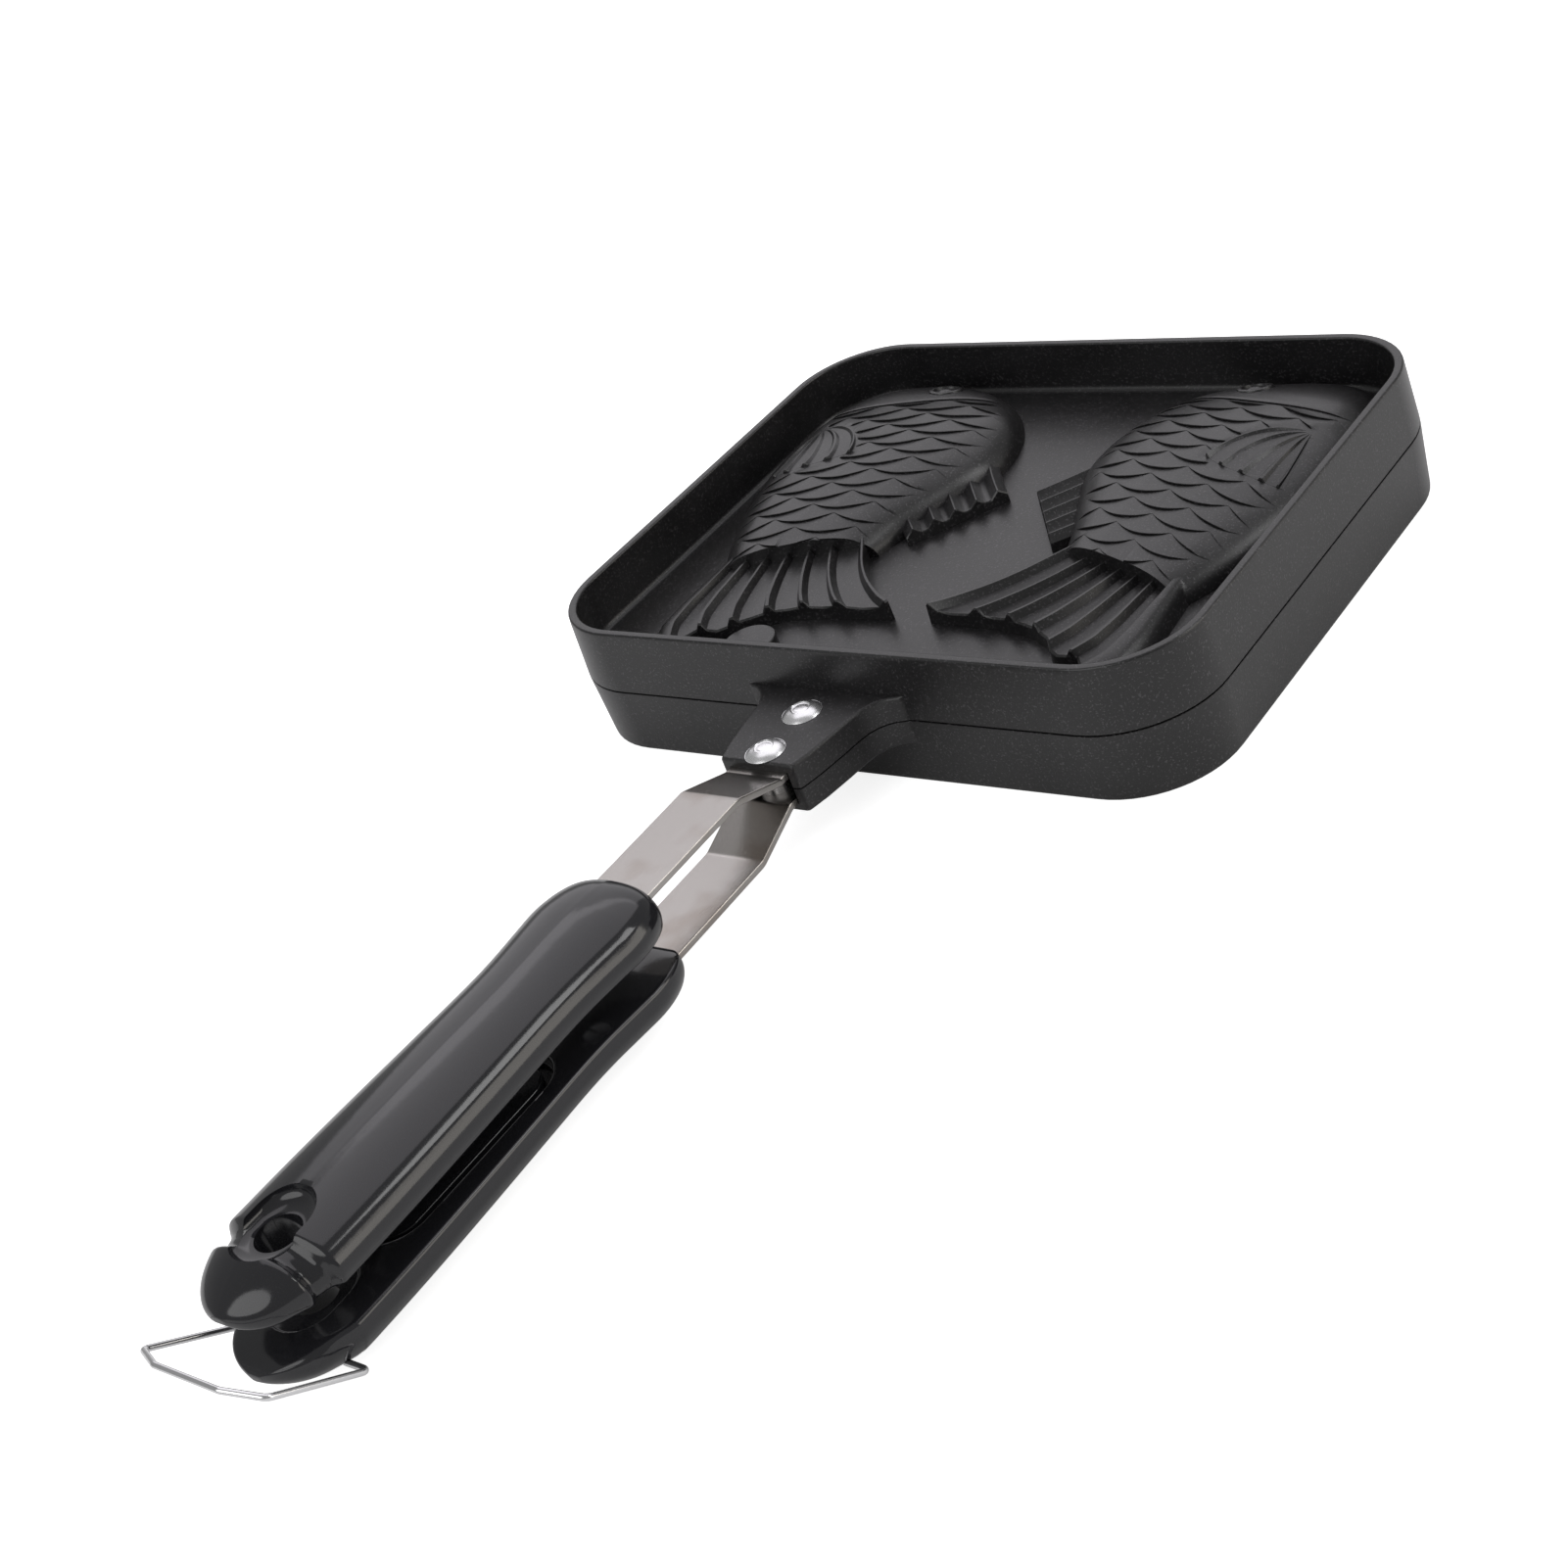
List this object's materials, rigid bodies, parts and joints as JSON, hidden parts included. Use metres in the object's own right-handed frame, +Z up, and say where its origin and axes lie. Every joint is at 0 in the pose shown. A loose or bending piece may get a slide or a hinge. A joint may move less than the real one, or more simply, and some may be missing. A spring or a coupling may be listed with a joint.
{
  "type": "taiyaki maker",
  "caption": "Hand-held hinged pan with fish-shaped moulds in both cast halves, riveted steel straps, black moulded handles and a swinging wire latch.",
  "frame": {"origin": "middle of the outline on the surface the pan stands on, which is the plane of the lower rim", "axes": "+Z up, +Y from the handles towards the hinge, +X to the right seen from the handles"},
  "size_m": [0.155, 0.317, 0.0295],
  "materials": {
    "nonstick_casting": "matte non-stick coating on cast aluminium",
    "satin_steel": "satin",
    "bright_aluminium": "bright",
    "black_phenolic": "gloss",
    "plated_steel": "plated",
    "spring_wire": "bright"
  },
  "bodies": {
    "lower_half": {"lower_plate": "nonstick_casting", "lower_strap": "satin_steel", "lower_front_rivet": "bright_aluminium", "lower_rear_rivet": "bright_aluminium", "lower_handle": "black_phenolic", "lower_handle_screw": "plated_steel", "left_hinge_pin": "plated_steel", "right_hinge_pin": "plated_steel", "left_pin_retainer": "plated_steel", "right_pin_retainer": "plated_steel"},
    "upper_half": {"upper_plate": "nonstick_casting", "upper_strap": "satin_steel", "upper_front_rivet": "bright_aluminium", "upper_rear_rivet": "bright_aluminium", "upper_handle": "black_phenolic", "upper_handle_screw": "plated_steel"},
    "latch": {"wire_latch": "spring_wire"}
  },
  "joints": [
    {"name": "lid_hinge", "type": "hinge", "parent": "lower_half", "child": "upper_half", "pos_m": [0, 0.15455, 0.0152], "axis": [-1, 0, 0], "range_deg": [0, 180]},
    {"name": "latch_pivot", "type": "hinge", "parent": "lower_half", "child": "latch", "pos_m": [0, -0.13895, 0.0053], "axis": [1, 0, 0], "range_deg": [-60, 45]}
  ]
}
